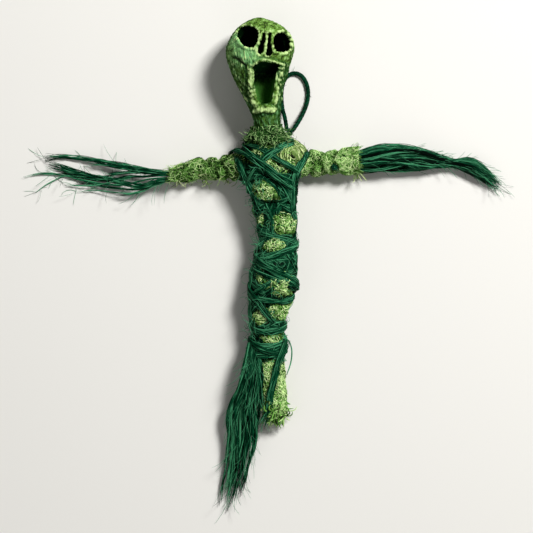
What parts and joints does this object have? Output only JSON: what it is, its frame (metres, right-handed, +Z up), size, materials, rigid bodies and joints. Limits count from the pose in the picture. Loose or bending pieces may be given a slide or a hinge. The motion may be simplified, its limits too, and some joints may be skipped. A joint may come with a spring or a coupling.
{
  "type": "voodoo doll",
  "caption": "Voodoo doll of moss wound on crossed sticks and bound with green twine, with a hollow carved skull-like head, frayed twine hands and fringe, and a hanging loop.",
  "frame": {"origin": "on the table under the middle of the doll, which lies on its back", "axes": "+X to the right as seen from above, +Y from the foot to the head, +Z up from the table, out of the doll's front"},
  "size_m": [0.2863, 0.2983, 0.0399],
  "materials": {
    "moss": "matte curled fibre",
    "collar_moss": "matte curled fibre",
    "twine": "fuzzy flat twine",
    "cord": "twisted twine",
    "stick": "rough bark",
    "head": "satin, dyed, worn rims"
  },
  "bodies": {
    "figure": {"spine_stick": "stick", "cross_stick": "stick", "cross_lashing": "cord", "chest_moss": "moss", "right_chest_band": "twine", "left_chest_band": "twine", "body_moss": "moss", "torso_binding": "twine", "waist_binding": "twine", "leg_moss": "moss", "left_arm_moss": "moss", "right_arm_moss": "moss", "arm_twine_end": "twine", "left_shoulder_band": "twine", "right_shoulder_band": "twine", "neck_moss": "collar_moss", "loop_knot": "cord", "fringe_ribbon": "twine"},
    "head": {"head": "head"},
    "left_hand": {"left_hand": "twine"},
    "right_hand": {"right_hand": "twine"},
    "fringe": {"leg_fringe": "twine"},
    "hang_loop": {"hang_loop": "cord"}
  },
  "joints": [
    {"name": "head_turn", "type": "hinge", "parent": "figure", "child": "head", "pos_m": [0.00026, 0.08395, 0.01682], "axis": [-0.0869, 0.9938, 0.0698], "range_deg": [-25, 25]},
    {"name": "left_hand_sway", "type": "hinge", "parent": "figure", "child": "left_hand", "pos_m": [-0.06192, 0.05466, 0.0083], "axis": [0, 0, 1], "range_deg": [-40, 40]},
    {"name": "right_hand_sway", "type": "hinge", "parent": "figure", "child": "right_hand", "pos_m": [0.06223, 0.064, 0.0073], "axis": [0, 0, 1], "range_deg": [-40, 40]},
    {"name": "leg_fringe_sway", "type": "hinge", "parent": "figure", "child": "fringe", "pos_m": [-0.00228, -0.06005, 0.01981], "axis": [0, 0, 1], "range_deg": [-45, 0]},
    {"name": "hang_loop_swing", "type": "hinge", "parent": "figure", "child": "hang_loop", "pos_m": [0.0138, 0.07942, 0.01285], "axis": [0, 0, 1], "range_deg": [-70, 0]}
  ]
}
